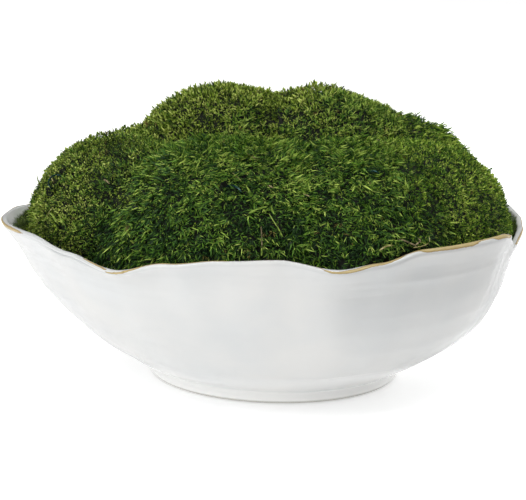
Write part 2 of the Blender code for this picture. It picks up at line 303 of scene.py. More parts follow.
def bowlSection(form):
    # rows of radius, height, distance outwards from the lip's crest, and 1 on the outer side
    wall, floorHeight, hollowHeight = form["wall"], form["floor"], form["footHollow"]
    upper = throughPoints(form["outside"][:3], form["lipStep"])
    outer = np.vstack([upper, throughPoints(form["outside"], form["wallStep"])[1:]])
    outer = outer[np.argsort(-outer[:, 1], kind="stable")]
    outer = outer[np.concatenate([[True], np.diff(outer[:, 1]) < -form["leastDrop"]])]
    run = np.gradient(outer, axis=0)
    run /= np.linalg.norm(run, axis=1)[:, None]
    inner = outer + np.stack([run[:, 1], -run[:, 0]], 1) * wall
    # the rounded lip carries on the wall's slope
    upwards, outwards = -run[0], (outer[0] - inner[0]) / wall
    centre = (outer[0] + inner[0]) / 2
    centre += upwards * (form["rimHeight"] - wall / 2 - centre[1]) / upwards[1]
    turns = np.linspace(-math.pi / 2, math.pi / 2, form["lipRows"])
    crest = centre + (np.outer(np.cos(turns), upwards) + np.outer(np.sin(turns), outwards)) * wall / 2
    shoulders = form["shoulderRows"]
    outerShoulder = np.linspace(crest[-1], outer[0], shoulders["outer"] + 2)[1:-1]
    innerShoulder = np.linspace(inner[0], crest[0], shoulders["inner"] + 2)[1:-1]
    inner = inner[inner[:, 1] > floorHeight + form["fillet"]]
    bottom = np.array([(r, floorHeight) for r in (*form["floorRows"], form["floorRadius"])])
    edge, hollow = form["footRadius"], form["footRadius"] - form["footWidth"]
    foot = np.array([*[(edge + out, high) for out, high in form["footOutside"]],
                     *[(hollow + out, high) for out, high in form["footInside"]],
                     *[(r, hollowHeight) for r in (hollow, *form["hollowRows"])]])
    section = np.vstack([bottom, inner[::-1], innerShoulder, crest, outerShoulder, outer, foot])
    lip = len(bottom) + len(inner) + len(innerShoulder) + int(np.argmax(crest[:, 1]))
    along = np.concatenate([[0], np.cumsum(np.linalg.norm(np.diff(section, axis=0), axis=1))])
    side = (np.arange(len(section)) > lip).astype(float)
    return np.column_stack([section, along - along[lip], side])


def pulledOut(places, form):
    # where the pulled rim and the lean take points of the round bowl, in millimetres
    radius = np.hypot(places[:, 0], places[:, 1])
    azimuth = np.degrees(np.arctan2(places[:, 1], places[:, 0]))
    height = np.minimum(1.0, places[:, 2] / form["rimHeight"])
    share = height * (radius / form["rimRadius"]) ** 2
    lean = np.interp(places[:, 2], *throughPoints(form["lean"], form["wallStep"]).T)
    reach = 1.0 + share * aroundRim(azimuth, form["rim"], 2) / form["rimRadius"]
    lift = share * (aroundRim(azimuth, form["rim"], 1) - form["rimHeight"])
    return np.stack([places[:, 0] * reach + lean, places[:, 1] * reach, places[:, 2] + lift], 1)


def buildBowl(form):
    section = bowlSection(form)
    rows, columns = len(section), form["columns"]
    radius, height, down, outside = np.tile(section, (columns, 1)).T
    turn = np.repeat(np.arange(columns) * 360.0 / columns, rows)
    bead, crease = form["bead"], form["crease"]
    # the bead is thicker here and there
    long, short = (np.sin(np.radians(turn * n + start)) for n, start in zip(bead["waves"], (bead["from"], 0)))
    swell = bead["least"] + bead["swell"] * long * short
    bulge = bead["bulge"] * swell * np.exp(-((down - bead["at"]) / bead["width"]) ** 2)
    sunk = crease["depth"] * aroundRim(turn, form["creaseStrength"], 1)
    sunk *= np.exp(-((down - crease["at"]) / crease["width"]) ** 2)
    radius = radius + np.where(down > 0, bulge - sunk, 0)
    a = np.radians(turn)
    places = pulledOut(np.stack([radius * np.cos(a), radius * np.sin(a), height], 1), form) * mm
    faces = []
    for c in range(columns):
        this, following = c * rows, (c + 1) % columns * rows
        faces += [(this + r, this + r + 1, following + r + 1, following + r) for r in range(rows - 1)]
    mesh = bpy.data.meshes.new("bowl")
    mesh.from_pydata(places.tolist(), [], faces)
    offset = np.abs(down - aroundRim(turn, form["wear"], 1)) / aroundRim(turn, form["wear"], 2)
    wear = np.exp(-offset**2) * aroundRim(turn, form["wear"], 3) * (np.abs(down) < form["wearReach"])
    uneven = smoothStep(*form["unevenFrom"]["lip"], down) * smoothStep(*form["unevenFrom"]["foot"], height)
    # how far each point lies below the line where the painted moss reflection and its painted shade start
    stained = np.where(outside > 0, form["farFromPaintedReflection"], -down - aroundRim(turn, form["paintedReflectionLine"], 1)) * mm
    for name, values in {
            "wear": wear, "outside": outside * uneven,
            "footRing": outside * smoothStep(*form["footRing"], height),
            "footLine": outside * smoothStep(*form["footLine"], height),
            "pooled": sunk * crease["creaseShadeShare"] * (down > 0), "stained": stained}.items():
        setAttribute(mesh, name, values)
    shape = bmesh.new()
    shape.from_mesh(mesh)
    bmesh.ops.remove_doubles(shape, verts=shape.verts, dist=form["merge"] * mm)
    bmesh.ops.recalc_face_normals(shape, faces=shape.faces)
    shape.to_mesh(mesh)
    shape.free()
    mesh.shade_smooth()
    return mesh


# Throwing rings: soft ridges that run round the wall, left by the potter's fingers.
ringSettings = {"Ring Spacing": 9.0, "Ring Length": 120.0, "Ring Height": 0.95, "Dent Spacing": 70.0,
                "Dent Height": 0.85}


def ringsTree():
    tree = bpy.data.node_groups.new("throwingRings", "GeometryNodeTree")
    tree.interface.new_socket("Wall", in_out="INPUT", socket_type="NodeSocketGeometry")
    for name in ringSettings:
        tree.interface.new_socket(name, in_out="INPUT", socket_type="NodeSocketFloat")
    tree.interface.new_socket("Glaze", in_out="INPUT", socket_type="NodeSocketMaterial")
    tree.interface.new_socket("Wall", in_out="OUTPUT", socket_type="NodeSocketGeometry")
    asked = addNode(tree, "NodeGroupInput").outputs
    place = addNode(tree, "GeometryNodeInputPosition")
    parts = addNode(tree, "ShaderNodeSeparateXYZ", {0: place})
    stretched = [addNode(tree, "ShaderNodeMath", {"operation": "DIVIDE", 0: parts.outputs[i], 1: asked[name]})
                 for i, name in enumerate(("Ring Length", "Ring Length", "Ring Spacing"))]
    ringPlace = addNode(tree, "ShaderNodeCombineXYZ", dict(enumerate(stretched)))
    rings = addNode(tree, "ShaderNodeTexNoise", {"Scale": perMetre(1.0), "Detail": 1.5, "Vector": ringPlace})
    dentScale = addNode(tree, "ShaderNodeMath", {
        "operation": "DIVIDE", 0: perMetre(1.0), 1: asked["Dent Spacing"]})
    dents = addNode(tree, "ShaderNodeTexNoise", {"Detail": 1.0, "Vector": place, "Scale": dentScale})
    heights = []
    for texture, name in ((rings, "Ring Height"), (dents, "Dent Height")):
        level = addNode(tree, "ShaderNodeMath", {"operation": "SUBTRACT", 0: texture, 1: 0.5})
        heights.append(addNode(tree, "ShaderNodeMath", {"operation": "MULTIPLY", 0: level, 1: asked[name]}))
    both = addNode(tree, "ShaderNodeMath", {"operation": "ADD", 0: heights[0], 1: heights[1]})
    where = addNode(tree, "GeometryNodeInputNamedAttribute", {"data_type": "FLOAT", "Name": "outside"})
    there = addNode(tree, "ShaderNodeMath", {"operation": "MULTIPLY", 0: both, 1: where})
    # twice, because the noise runs only half as far to either side
    inMetres = addNode(tree, "ShaderNodeMath", {"operation": "MULTIPLY", 0: there, 1: 2 * mm})
    out = addNode(tree, "GeometryNodeInputNormal")
    push = addNode(tree, "ShaderNodeVectorMath", {"operation": "SCALE", 0: out, "Scale": inMetres})
    moved = addNode(tree, "GeometryNodeSetPosition", {"Geometry": asked["Wall"], "Offset": push})
    real = addNode(tree, "GeometryNodeRealizeInstances", {0: moved})
    glazed = addNode(tree, "GeometryNodeSetMaterial", {"Geometry": real, "Material": asked["Glaze"]})
    addNode(tree, "NodeGroupOutput", {0: glazed})
    return tree


def grown(obj, tree, values):
    # runs a tree on an object and turns the result into its plain mesh
    grower = obj.modifiers.new(tree.name, "NODES")
    grower.node_group = tree
    for item in tree.interface.items_tree:
        if item.in_out == "INPUT" and item.name in values:
            grower[item.identifier] = values[item.name]
    bpy.context.view_layer.update()
    mesh = bpy.data.meshes.new_from_object(obj.evaluated_get(bpy.context.evaluated_depsgraph_get()))
    obj.modifiers.clear()
    obj.data = mesh
    return obj


# Stoneware under a white tin glaze: a wet, slightly uneven gloss, worn through to ochre clay on the lip.
glazeNoises = {"cloud": (55, 3.0, 0.5), "grit": (3.2, 4.0, 0.7), "ragged": (7.0, 4.0, 0.7),
               "peel": (4.0, 1.0, 0.5)}
glaze, tree, shader = newMaterial("whiteTinGlaze", {"IOR": 1.55})
place = addNode(tree, "ShaderNodeTexCoord").outputs["Object"]
made = {name: addNode(tree, "ShaderNodeAttribute", {"attribute_name": name}).outputs["Fac"]
        for name in ("pooled", "wear", "stained", "footRing", "footLine")}
for name, (size, detail, roughness) in glazeNoises.items():
    made[name] = addNode(tree, "ShaderNodeTexNoise", {
        "Scale": perMetre(size), "Detail": detail, "Roughness": roughness, "Vector": place})
white = addNode(tree, "ShaderNodeValToRGB", {
    "stops": [(0.35, "#e8eaea"), (0.65, "#f0f0ee")], 0: made["cloud"]})
broken = addNode(tree, "ShaderNodeMath", {
    "operation": "MULTIPLY_ADD", 0: made["grit"], 1: 0.5, 2: made["wear"]})
bare = addNode(tree, "ShaderNodeMapRange", {"From Min": 0.5, "From Max": 0.68, "Value": broken})
clay = addNode(tree, "ShaderNodeValToRGB", {
    "stops": [(0.5, "#6d4d22"), (0.62, "#9d7a38"), (0.84, "#b99d58"), (1.0, "#d2bd88")], 0: broken})
# inside, below the lip, a painted reflection of the moss, with painted shade, colours the glaze dark green up
# to a ragged line
paintedReflectionLine = addNode(tree, "ShaderNodeMath", {
    "operation": "MULTIPLY_ADD", 0: made["ragged"], 1: 9 * mm, 2: made["stained"]})
paintedReflectionShare = addNode(tree, "ShaderNodeMapRange", {"From Min": 3.5 * mm, "From Max": 5.5 * mm, "Value": paintedReflectionLine})
paintedMossReflection = addNode(tree, "ShaderNodeValToRGB", {
    "stops": [(0.35, "#3a4826"), (0.65, "#6f804d")], 0: made["ragged"]})
# painted light: the foot ring is whiter than the wall above it, and a darker grey runs along the very bottom
# of the foot
# painted shade: the crease under the bead is tinted grey
colour = white
for share, over in ((made["pooled"], linear("#b4b8b8")), (bare, clay), (paintedReflectionShare, paintedMossReflection),
                    (made["footRing"], linear("#f6f6f4")), (made["footLine"], linear("#9d9b92"))):
    colour = addNode(tree, "ShaderNodeMix", {"data_type": "RGBA", 0: share, 6: colour, 7: over})
gloss = addNode(tree, "ShaderNodeMapRange", {"To Min": 0.06, "To Max": 0.40, "Value": bare})
bump = addNode(tree, "ShaderNodeBump", {"Strength": 0.12, "Distance": 0.1 * mm, "Height": made["peel"]})
for socket, source in (("Base Color", colour.outputs[2]), ("Roughness", gloss.outputs[0]),
                       ("Normal", bump.outputs[0])):
    tree.links.new(source, shader[socket])

bowl = newObject("glazedBowl", buildBowl(bowlForm))
grown(bowl, ringsTree(), {**ringSettings, "Glaze": glaze})
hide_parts("bowl")
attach(bowl, "root")
print("bowl is made:", len(bowl.data.polygons), "faces")

# Potting soil: near-black crumbs, dry on top. It shows only deep between the cushions.
soil, tree, shader = newMaterial("pottingSoil", {"Roughness": 0.95})
place = addNode(tree, "ShaderNodeTexCoord").outputs["Object"]
crumbs = addNode(tree, "ShaderNodeTexVoronoi", {"Scale": perMetre(4.0), "Vector": place}).outputs["Distance"]
earth = addNode(tree, "ShaderNodeValToRGB", {
    "stops": [(0.0, "#4a3b2c"), (0.5, "#2c221a"), (1.0, "#120e0b")], 0: crumbs})
relief = addNode(tree, "ShaderNodeBump", {"Strength": 1.0, "Distance": 1.5 * mm, "Height": crumbs})
tree.links.new(earth.outputs[0], shader["Base Color"])
tree.links.new(relief.outputs[0], shader["Normal"])

# Lacquered steel pins: dark teal lacquer over thin wire, with a hard gloss, mottled with pale patches that
# are a painted glint.
wire = mottled("tealLacqueredWire", {
    "shader": {"Metallic": 0.6, "Roughness": 0.2}, "grain": 3.0, "detail": 3.0,
    "stops": [(0.35, "#0e2629"), (0.58, "#28585c"), (0.72, "#98bcba")]})
for name, finish in {"soil_bed": soil, **{"pin_%d" % number: wire for number in range(1, 6)}}.items():
    for slot in frame["nodes"][name].material_slots:
        slot.material = finish
print("soil and pins are finished")

# The moss. Each cushion's centre, half-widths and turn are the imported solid's.
cushionForm = {
    "moss_front_left": ((-30, -76, 104), (87, 103, 78), 0),
    "moss_front_right": ((68, -74, 103), (68, 103, 78), 0),
    "moss_crown_left": ((-31, 32, 149), (70, 60, 62), 0),
    "moss_crown_right": ((41, 32, 144), (70, 60, 67), 0),
    "moss_left": ((-110, -14, 105), (61, 90, 69), 14),
    "moss_right": ((116, -32, 102), (65, 98, 75), -16),
    "moss_back_right": ((107, 52, 126), (57, 60, 62), 0),
    "moss_rear_left": ((-98, 76, 108), (70, 70, 60), -20),
    "moss_rear_middle": ((-18, 116, 110), (66, 60, 62), 0),
    "moss_rear_right": ((66, 116, 106), (66, 58, 60), 25),
}
lumps = {"packed": (34.0, 2.0), "fine": (15.0, 1.3)}  # spacing and height
# how far from a crease a cushion's moss starts to fill it; the two front ones have grown into one mass
usualBlend = 24.0
blend = {
    "moss_front_left": {"moss_front_right": 64.0, "moss_left": 22.0, "moss_crown_left": 40.0},
    "moss_front_right": {"moss_front_left": 64.0, "moss_right": 26.0, "moss_crown_right": 46.0},
    "moss_crown_left": {"moss_crown_right": 8.0, "moss_front_left": 12.0},
    "moss_crown_right": {"moss_crown_left": 8.0, "moss_front_right": 10.0},
    "moss_left": {"moss_front_left": 46.0}, "moss_right": {"moss_front_right": 40.0},
}
# where the neighbouring moss has crept over a cushion: the place in the photograph and the radius, in pixels
creeping = [
    ("moss_crown_right", 345, 120, 28), ("moss_crown_right", 300, 134, 20),
    ("moss_crown_right", 382, 124, 18), ("moss_crown_left", 243, 130, 17), ("moss_front_left", 148, 146, 17),
    ("moss_front_left", 186, 138, 11), ("moss_front_left", 212, 133, 9), ("moss_front_left", 266, 131, 8),
    ("moss_front_left", 122, 195, 15), ("moss_front_right", 428, 205, 24), ("moss_front_right", 420, 165, 20),
]
# where the moss stands out in fresh, bright clumps with painted highlights where their tops catch the light,
# or is thin and dark with painted shade in gaps, creases and round the pins: the place in the photograph in
# pixels, the radius in pixels, and how much brighter
tuftsHighlightsAndShade = [(240, 131, 14, 0.22), (160, 150, 12, 0.1), (395, 150, 12, 0.14), (360, 188, 14, 0.14),
         (415, 190, 9, 0.2), (408, 220, 12, 0.14), (455, 132, 14, 0.12), (490, 185, 14, 0.2),
         (465, 225, 16, 0.12), (62, 165, 20, 0.12), (40, 210, 14, 0.22), (190, 228, 12, 0.08),
         (205, 124, 10, -0.35), (115, 152, 11, -0.4), (100, 182, 10, -0.2), (106, 238, 13, -0.25),
         (318, 165, 13, -0.3), (340, 238, 22, -0.12), (387, 250, 11, 0.25), (262, 222, 24, -0.12),
         (412, 166, 8, -0.2), (432, 213, 9, -0.15), (420, 114, 10, -0.3), (266, 116, 11, -0.25),
         (235, 187, 8, -0.4), (323, 196, 7, -0.35), (370, 170, 6, -0.35), (101, 196, 6, -0.2),
         (55, 180, 6, -0.15)]

# The three growth forms. Leaves have a length, a width, a lean in degrees and a height on their stem.
# Shoots have a reach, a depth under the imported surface, a turn in degrees, a share of tall ones, how far
# they lie over the way they are combed, and how much smaller they stay where two cushions press.
variants = 10
shootKinds = {
    # cushion moss: short upright shoots that end in a small star of pointed leaves
    "stubby": {"leaves": 8, "length": (2.2, 4.3), "width": 0.86, "stem": (0.8, 3.0), "spread": (8, 62),
               "comb": 0.0, "droop": 0.10, "arch": 0.06, "reach": 6.5, "depth": 4.6, "turn": 180,
               "tall": 0.04, "lying": 0, "pressed": 0.15},
    # the same moss grown dense and low: each tip is a bead of tiny leaves
    "beaded": {"leaves": 7, "length": (1.3, 2.1), "width": 0.95, "stem": (0.8, 3.0), "spread": (10, 80),
               "comb": 0.0, "droop": 0.05, "arch": 0.12, "reach": 5.0, "depth": 3.9, "turn": 180,
               "tall": 0.04, "lying": 0, "pressed": 0.15},
    # fork moss: long narrow leaves, all swept one way
    "feathery": {"leaves": 8, "length": (3.4, 7.8), "width": 0.64, "stem": (0.2, 2.8), "spread": (10, 70),
                 "comb": 50.0, "droop": 0.16, "arch": 0.08, "reach": 9.2, "depth": 5.0, "turn": 30,
                 "tall": 0.09, "lying": 0.5, "pressed": 0.4},
}
# The plan for each cushion: its kind of shoot and its finish, those of the guests that have come in from
# its neighbours and their share, the spacing of its shoots, the place they are combed away from, how much
# lower than the imported solid the moss is, how much brighter it is and how much painted light brightens it
# upwards, and its seed.
usualPlan = {"share": 0.1, "low": 0.0, "tone": 0.0, "rise": 0.1}
growth = {
    "moss_front_left": {"kind": "feathery", "finish": "feather", "guests": ("beaded", "cushion"),
                        "spacing": 1.72, "crown": (-12, 0, 188), "tone": -0.06, "rise": 0.12, "seed": 3},
    "moss_front_right": {"kind": "feathery", "finish": "feather", "guests": ("stubby", "fresh"),
                         "spacing": 1.72, "crown": (45, 0, 188), "tone": -0.05, "rise": 0.12, "seed": 7},
    "moss_crown_left": {"kind": "stubby", "finish": "cushion", "guests": ("feathery", "feather"),
                        "spacing": 1.76, "crown": (-31, 32, 240), "low": 1.8, "tone": 0.06, "seed": 11},
    "moss_crown_right": {"kind": "stubby", "finish": "cushion", "guests": ("feathery", "feather"),
                         "spacing": 1.76, "crown": (41, 32, 240), "low": 2.6, "tone": 0.03, "seed": 13},
    "moss_left": {"kind": "beaded", "finish": "cushion", "guests": ("feathery", "feather"), "spacing": 1.62,
                  "crown": (-100, -14, 220), "low": 0.8, "tone": 0.04, "rise": -0.02, "seed": 17},
    "moss_right": {"kind": "beaded", "finish": "fresh", "slot": "cushion_moss", "guests": ("stubby", "fresh"),
                   "share": 0.45, "spacing": 1.8, "crown": (105, -20, 220), "low": 2.2, "tone": 0.07,
                   "rise": 0.08, "seed": 19},
    "moss_back_right": {"kind": "feathery", "finish": "fresh", "guests": ("stubby", "cushion"),
                        "spacing": 2.2, "crown": (95, 52, 230), "low": 2.8, "tone": -0.12, "seed": 23},
    "moss_rear_left": {"kind": "stubby", "finish": "cushion", "guests": ("beaded", "cushion"), "spacing": 2.5,
                       "crown": (-90, 70, 220), "seed": 29},
    "moss_rear_middle": {"kind": "stubby", "finish": "cushion", "guests": ("beaded", "cushion"),
                         "spacing": 2.5, "crown": (-18, 110, 220), "seed": 31},
    "moss_rear_right": {"kind": "stubby", "finish": "cushion", "guests": ("feathery", "fresh"),
                        "spacing": 2.5, "crown": (60, 110, 220), "seed": 37},
}
growth = {name: {**usualPlan, **plan} for name, plan in growth.items()}
# what all the shoots share, as inputs of their tree
growthSettings = {"Size Spread": 0.22, "Lean": math.radians(18), "Sink": 3.2 * mm, "Tint Spread": 0.28,
                  "Dead Share": 0.006}

# Moss leaves are one cell thick: matt and a little translucent, bright at the tip, and painted dark at the
# base: painted shade where they overlap.
leafColours = {
    "cushion": {"base": "#101809", "tips": [
        (0.0, "#2a3f14"), (0.3, "#658526"), (0.6, "#a5c240"), (0.9, "#e3f080"), (1.0, "#8d7446")]},
    "feather": {"base": "#0a140c", "tips": [
        (0.0, "#152e16"), (0.3, "#3f6c28"), (0.6, "#7dac38"), (0.9, "#d2ec6e"), (1.0, "#86723f")]},
    "fresh": {"base": "#0e1b08", "tips": [
        (0.0, "#234915"), (0.3, "#588628"), (0.6, "#99c23c"), (0.9, "#d9ee6c"), (1.0, "#85783c")]},
}
# Leaves find their colour on a chart: across for their tint, up from base to tip. The guests' leaves are
# above the cushion's own, from low to high, and the felt is under them.
leafChart = {"felt": 0.27, "low": 0.3, "base": 0.305, "brightest": 0.58, "high": 0.65, "rise": 0.335,
             "guests": 0.35, "across": 0.98, "edge": 0.01}
leafFinishes, mossSlots = {}, {"feather": "feathery_moss", "cushion": "cushion_moss", "fresh": "fresh_moss"}
for name, colours in leafColours.items():
    leafFinishes[name], tree, shader = newMaterial(name + "MossLeaf", {
        "Roughness": 0.5, "Specular IOR Level": 0.25})
    chart = addNode(tree, "ShaderNodeUVMap", {"uv_map": "OFBake"})
    parts = addNode(tree, "ShaderNodeSeparateXYZ", {0: chart}).outputs
    tips = addNode(tree, "ShaderNodeValToRGB", {"stops": colours["tips"], 0: parts[0]})
    height = addNode(tree, "ShaderNodeMath", {
        "operation": "WRAP", 0: parts[1], 1: leafChart["high"], 2: leafChart["low"]})
    # from the painted shade at the leaf's base out to the colour of its tip
    outwards = addNode(tree, "ShaderNodeMapRange", {
        "From Min": leafChart["base"], "From Max": leafChart["brightest"], "Value": height})
    green = addNode(tree, "ShaderNodeMix", {
        "data_type": "RGBA", 0: outwards, 6: linear(colours["base"]), 7: tips})
    tree.links.new(green.outputs[2], shader["Base Color"])

# The felt of brown, dead stems under the living tips, where almost no light reaches: it is coloured
# near-black, painted shade.
felt = mottled("deadMossFeltInPaintedShade", {
    "shader": {"Roughness": 0.95}, "grain": 3.0, "detail": 4.0,
    "stops": [(0.35, "#080c05"), (0.7, "#161e0c")]})

# What all leaves share: they go round the stem so often and so unevenly, twist, start so far from its axis,
# have this share of their droop, are widest at this share of their length, and differ by these shares in
# width.
leafForm = {"rounds": 3.0, "uneven": 0.3, "twist": 0.7, "scatter": 0.5, "droops": (0.3, 1.3), "widest": 0.42,
            "widths": (0.8, 1.2), "lowerLean": 1.5, "seed": 100, "along": [0.0, 0.5, 0.5, 1.0],
            "faces": ((0, 1, 2), (3, 2, 1), (0, 2, 3), (0, 3, 1))}


def shootMesh(kind, seed):
    # one shoot: closed, arched leaves of four faces each, round a hidden stem along +Z, combed towards +X
    chance = np.random.default_rng(seed)
    uneven, twistMost, scatter = leafForm["uneven"], leafForm["twist"], leafForm["scatter"]
    shape = bmesh.new()
    along, leafTint = [], []
    for n in range(kind["leaves"]):
        lean = math.radians(chance.uniform(*kind["spread"]))
        if kind["comb"]:
            turn = math.radians(chance.normal(0, kind["comb"]))
        else:
            turn = 2 * math.pi * (n + chance.uniform(-uneven, uneven)) / kind["leaves"] * leafForm["rounds"]
        length, stem = chance.uniform(*kind["length"]), chance.uniform(*kind["stem"])
        if not kind["comb"]:
            # the more a leaf leans, the lower on the stem it stands
            leaning = (lean / math.radians(kind["spread"][1])) ** leafForm["lowerLean"]
            stem = kind["stem"][1] - (kind["stem"][1] - kind["stem"][0]) * leaning
        run = Vector((math.sin(lean) * math.cos(turn), math.sin(lean) * math.sin(turn), math.cos(lean)))
        side = Vector((0, 0, 1)).cross(run).normalized()
        face = run.cross(side)
        twist = chance.uniform(-twistMost, twistMost)
        side, face = (side * math.cos(twist) + face * math.sin(twist),
                      face * math.cos(twist) - side * math.sin(twist))
        root = Vector((chance.uniform(-scatter, scatter), chance.uniform(-scatter, scatter), stem))
        drop = -kind["droop"] * length * chance.uniform(*leafForm["droops"])
        tip = root + run * length + Vector((0, 0, drop))
        waist = root + (tip - root) * leafForm["widest"] + face * kind["arch"] * length
        half = kind["width"] / 2 * chance.uniform(*leafForm["widths"])
        corners = [root, waist + side * half, waist - side * half, tip]
        verts = [shape.verts.new(corner * mm) for corner in corners]
        for trio in leafForm["faces"]:
            shape.faces.new([verts[i] for i in trio])
        along += leafForm["along"]
        leafTint += [chance.uniform(-1, 1)] * len(corners)
    bmesh.ops.recalc_face_normals(shape, faces=shape.faces)
    mesh = bpy.data.meshes.new("shoot")
    shape.to_mesh(mesh)
    shape.free()
    setAttribute(mesh, "along", along)
    setAttribute(mesh, "leafTint", leafTint)
    return mesh


def growthTree():
    # grows shoots over the ground it is given, and lays the felt underneath
    tree = bpy.data.node_groups.new("mossGrowth", "GeometryNodeTree")
    inputs = {"Ground": "Geometry", "Felt": "Object", "Shoots": "Collection", "Kind": "Float",
              "Guest Kind": "Float", "Leaf Finish": "Material", "Guest Finish": "Material",
              "Spacing": "Float", "Reach": "Float", "Guest Reach": "Float", "Size Spread": "Float",
              "Lean": "Float", "Turn": "Float", "Sink": "Float", "Tint Spread": "Float",
              "Tall Share": "Float", "Dead Share": "Float", "Seed": "Int"}
    for name, kind in inputs.items():
        tree.interface.new_socket(name, in_out="INPUT", socket_type="NodeSocket" + kind)
    tree.interface.new_socket("Moss", in_out="OUTPUT", socket_type="NodeSocketGeometry")
    asked = addNode(tree, "NodeGroupInput").outputs
    values = {name: asked[name] for name in inputs}
    values.update({
        "packing": 4.0, "tall gain": 0.4, "guest gain": -0.2, "spare room": 0.5 * mm, "least size": 0.2,
        "tall tint": 0.15, "low tint": -0.35, "least tint": 0.02, "leaf tint": 0.42, "most tint": 0.9,
        "halfway": 0.5, "variants": variants})
    values.update({"chart " + name: place for name, place in leafChart.items()})
    for name in ("cover", "guests", "vigour", "room", "patch", "along", "leafTint", "tint", "dead", "guest"):
        values[name] = addNode(tree, "GeometryNodeInputNamedAttribute", {"data_type": "FLOAT", "Name": name})
    for name in ("shootAxis", "comb"):
        values[name] = addNode(tree, "GeometryNodeInputNamedAttribute", {
            "data_type": "FLOAT_VECTOR", "Name": name})
    # each draw has a seed of its own, so many steps from the tree's; low and high end, or the chance
    draws = {
        "size": ("FLOAT", 1, {2: "smallest", 3: "largest"}), "choice": ("INT", 2, {4: 0, 5: variants - 1}),
        "shade": ("FLOAT", 3, {2: -1.0, 3: 1.0}), "tall": ("BOOLEAN", 4, {"Probability": "Tall Share"}),
        "deep": ("FLOAT", 5, {2: 0.0, 3: 1.0}), "withered": ("BOOLEAN", 6, {"Probability": "Dead Share"}),
        "strange": ("BOOLEAN", 7, {"Probability": "guests"}),
    }
    steps = [
        ("area", "MULTIPLY", "Spacing", "Spacing"), ("thick", "DIVIDE", "packing", "area"),
        ("minus lean", "MULTIPLY", "Lean", -1.0), ("minus turn", "MULTIPLY", "Turn", -1.0),
        ("smallest", "SUBTRACT", 1.0, "Size Spread"), ("largest", "ADD", 1.0, "Size Spread"),
        *[(name, "draw") for name in draws],
        # the kind and the reach of a guest's shoot, and of the cushion's own
        ("other kind", "SUBTRACT", "Guest Kind", "Kind"),
        ("its kind", "MULTIPLY_ADD", "strange", "other kind", "Kind"),
        ("other reach", "SUBTRACT", "Guest Reach", "Reach"),
        ("its reach", "MULTIPLY_ADD", "strange", "other reach", "Reach"),
        ("number", "ADD", "choice", "halfway"), ("chosen", "MULTIPLY_ADD", "its kind", "variants", "number"),
        # some shoots stand out, tall and bright, others sit low and get painted shade, and none reaches the
        # bowl's wall
        ("strong", "MULTIPLY", "size", "vigour"), ("taller", "MULTIPLY_ADD", "tall", "tall gain", 1.0),
        ("its vigour", "MULTIPLY", "strong", "taller"),
        ("smaller", "MULTIPLY_ADD", "strange", "guest gain", 1.0),
        ("wanted size", "MULTIPLY", "its vigour", "smaller"), ("free room", "SUBTRACT", "room", "spare room"),
        ("most size", "DIVIDE", "free room", "its reach"),
        ("its size", "MINIMUM", "wanted size", "most size"),
        ("grows", "GREATER_THAN", "its size", "least size"), ("low", "MULTIPLY", "deep", "deep"),
        ("depth", "MULTIPLY", "low", "Sink"), ("down", "MULTIPLY", "depth", -1.0),
        ("shaded", "MULTIPLY_ADD", "shade", "Tint Spread", "patch"),
        # shoots that sit deeper get painted shade
        ("darker", "MULTIPLY_ADD", "low", "low tint", "shaded"),
        ("brighter", "MULTIPLY_ADD", "tall", "tall tint", "darker"),
        ("its tint", "MAXIMUM", "brighter", "least tint"),
        # on the realized leaves: their place on the chart, where dead ones are at the far end
        ("leaf shade", "MULTIPLY_ADD", "leafTint", "leaf tint", "tint"),
        ("not dead", "MINIMUM", "leaf shade", "most tint"), ("not under", "MAXIMUM", "not dead", 0.0),
        ("far", "MAXIMUM", "not under", "dead"),
        ("across", "MULTIPLY_ADD", "far", "chart across", "chart edge"),
        ("bottom", "MULTIPLY_ADD", "guest", "chart guests", "chart base"),
        ("upwards", "MULTIPLY_ADD", "along", "chart rise", "bottom"),
        ("on a guest", "GREATER_THAN", "guest", "halfway"),
    ]
    for name, operation, *terms in steps:
        if operation == "draw":
            kind, step, limits = draws[name]
            seed = addNode(tree, "ShaderNodeMath", {"operation": "ADD", 0: asked["Seed"], 1: step})
            limits = {socket: values.get(limit, limit) for socket, limit in limits.items()}
            values[name] = addNode(tree, "FunctionNodeRandomValue", {
                "data_type": kind, **limits, "Seed": seed})
        else:
            terms = {i: values.get(term, term) for i, term in enumerate(terms)}
            values[name] = addNode(tree, "ShaderNodeMath", {"operation": operation, **terms})
    spots = addNode(tree, "GeometryNodeDistributePointsOnFaces", {
        "distribute_method": "POISSON", "Mesh": asked["Ground"], "Distance Min": asked["Spacing"],
        "Density Max": values["thick"], "Density Factor": values["cover"], "Seed": asked["Seed"]})
    upright = addNode(tree, "FunctionNodeAxesToRotation", {
        "primary_axis": "Z", "secondary_axis": "X", 0: values["shootAxis"], 1: values["comb"]})
    least = addNode(tree, "ShaderNodeCombineXYZ", {
        0: values["minus lean"], 1: values["minus lean"], 2: values["minus turn"]})
    most = addNode(tree, "ShaderNodeCombineXYZ", {0: asked["Lean"], 1: asked["Lean"], 2: asked["Turn"]})
    sway = addNode(tree, "FunctionNodeRandomValue", {
        "data_type": "FLOAT_VECTOR", 0: least, 1: most, "Seed": asked["Seed"]})
    swayTurn = addNode(tree, "FunctionNodeEulerToRotation", {0: sway})
    stance = addNode(tree, "FunctionNodeRotateRotation", {"rotation_space": "LOCAL", 0: upright, 1: swayTurn})
    shoots = addNode(tree, "GeometryNodeCollectionInfo", {
        "Separate Children": True, "Reset Children": True, "Collection": asked["Shoots"]})
    planted = addNode(tree, "GeometryNodeInstanceOnPoints", {
        "Pick Instance": True, "Points": spots.outputs["Points"], "Instance": shoots,
        "Instance Index": values["chosen"], "Rotation": stance, "Scale": values["its size"],
        "Selection": values["grows"]})
    down = addNode(tree, "ShaderNodeCombineXYZ", {2: values["down"]})
    tinted = addNode(tree, "GeometryNodeTranslateInstances", {
        "Local Space": True, "Instances": planted, "Translation": down})
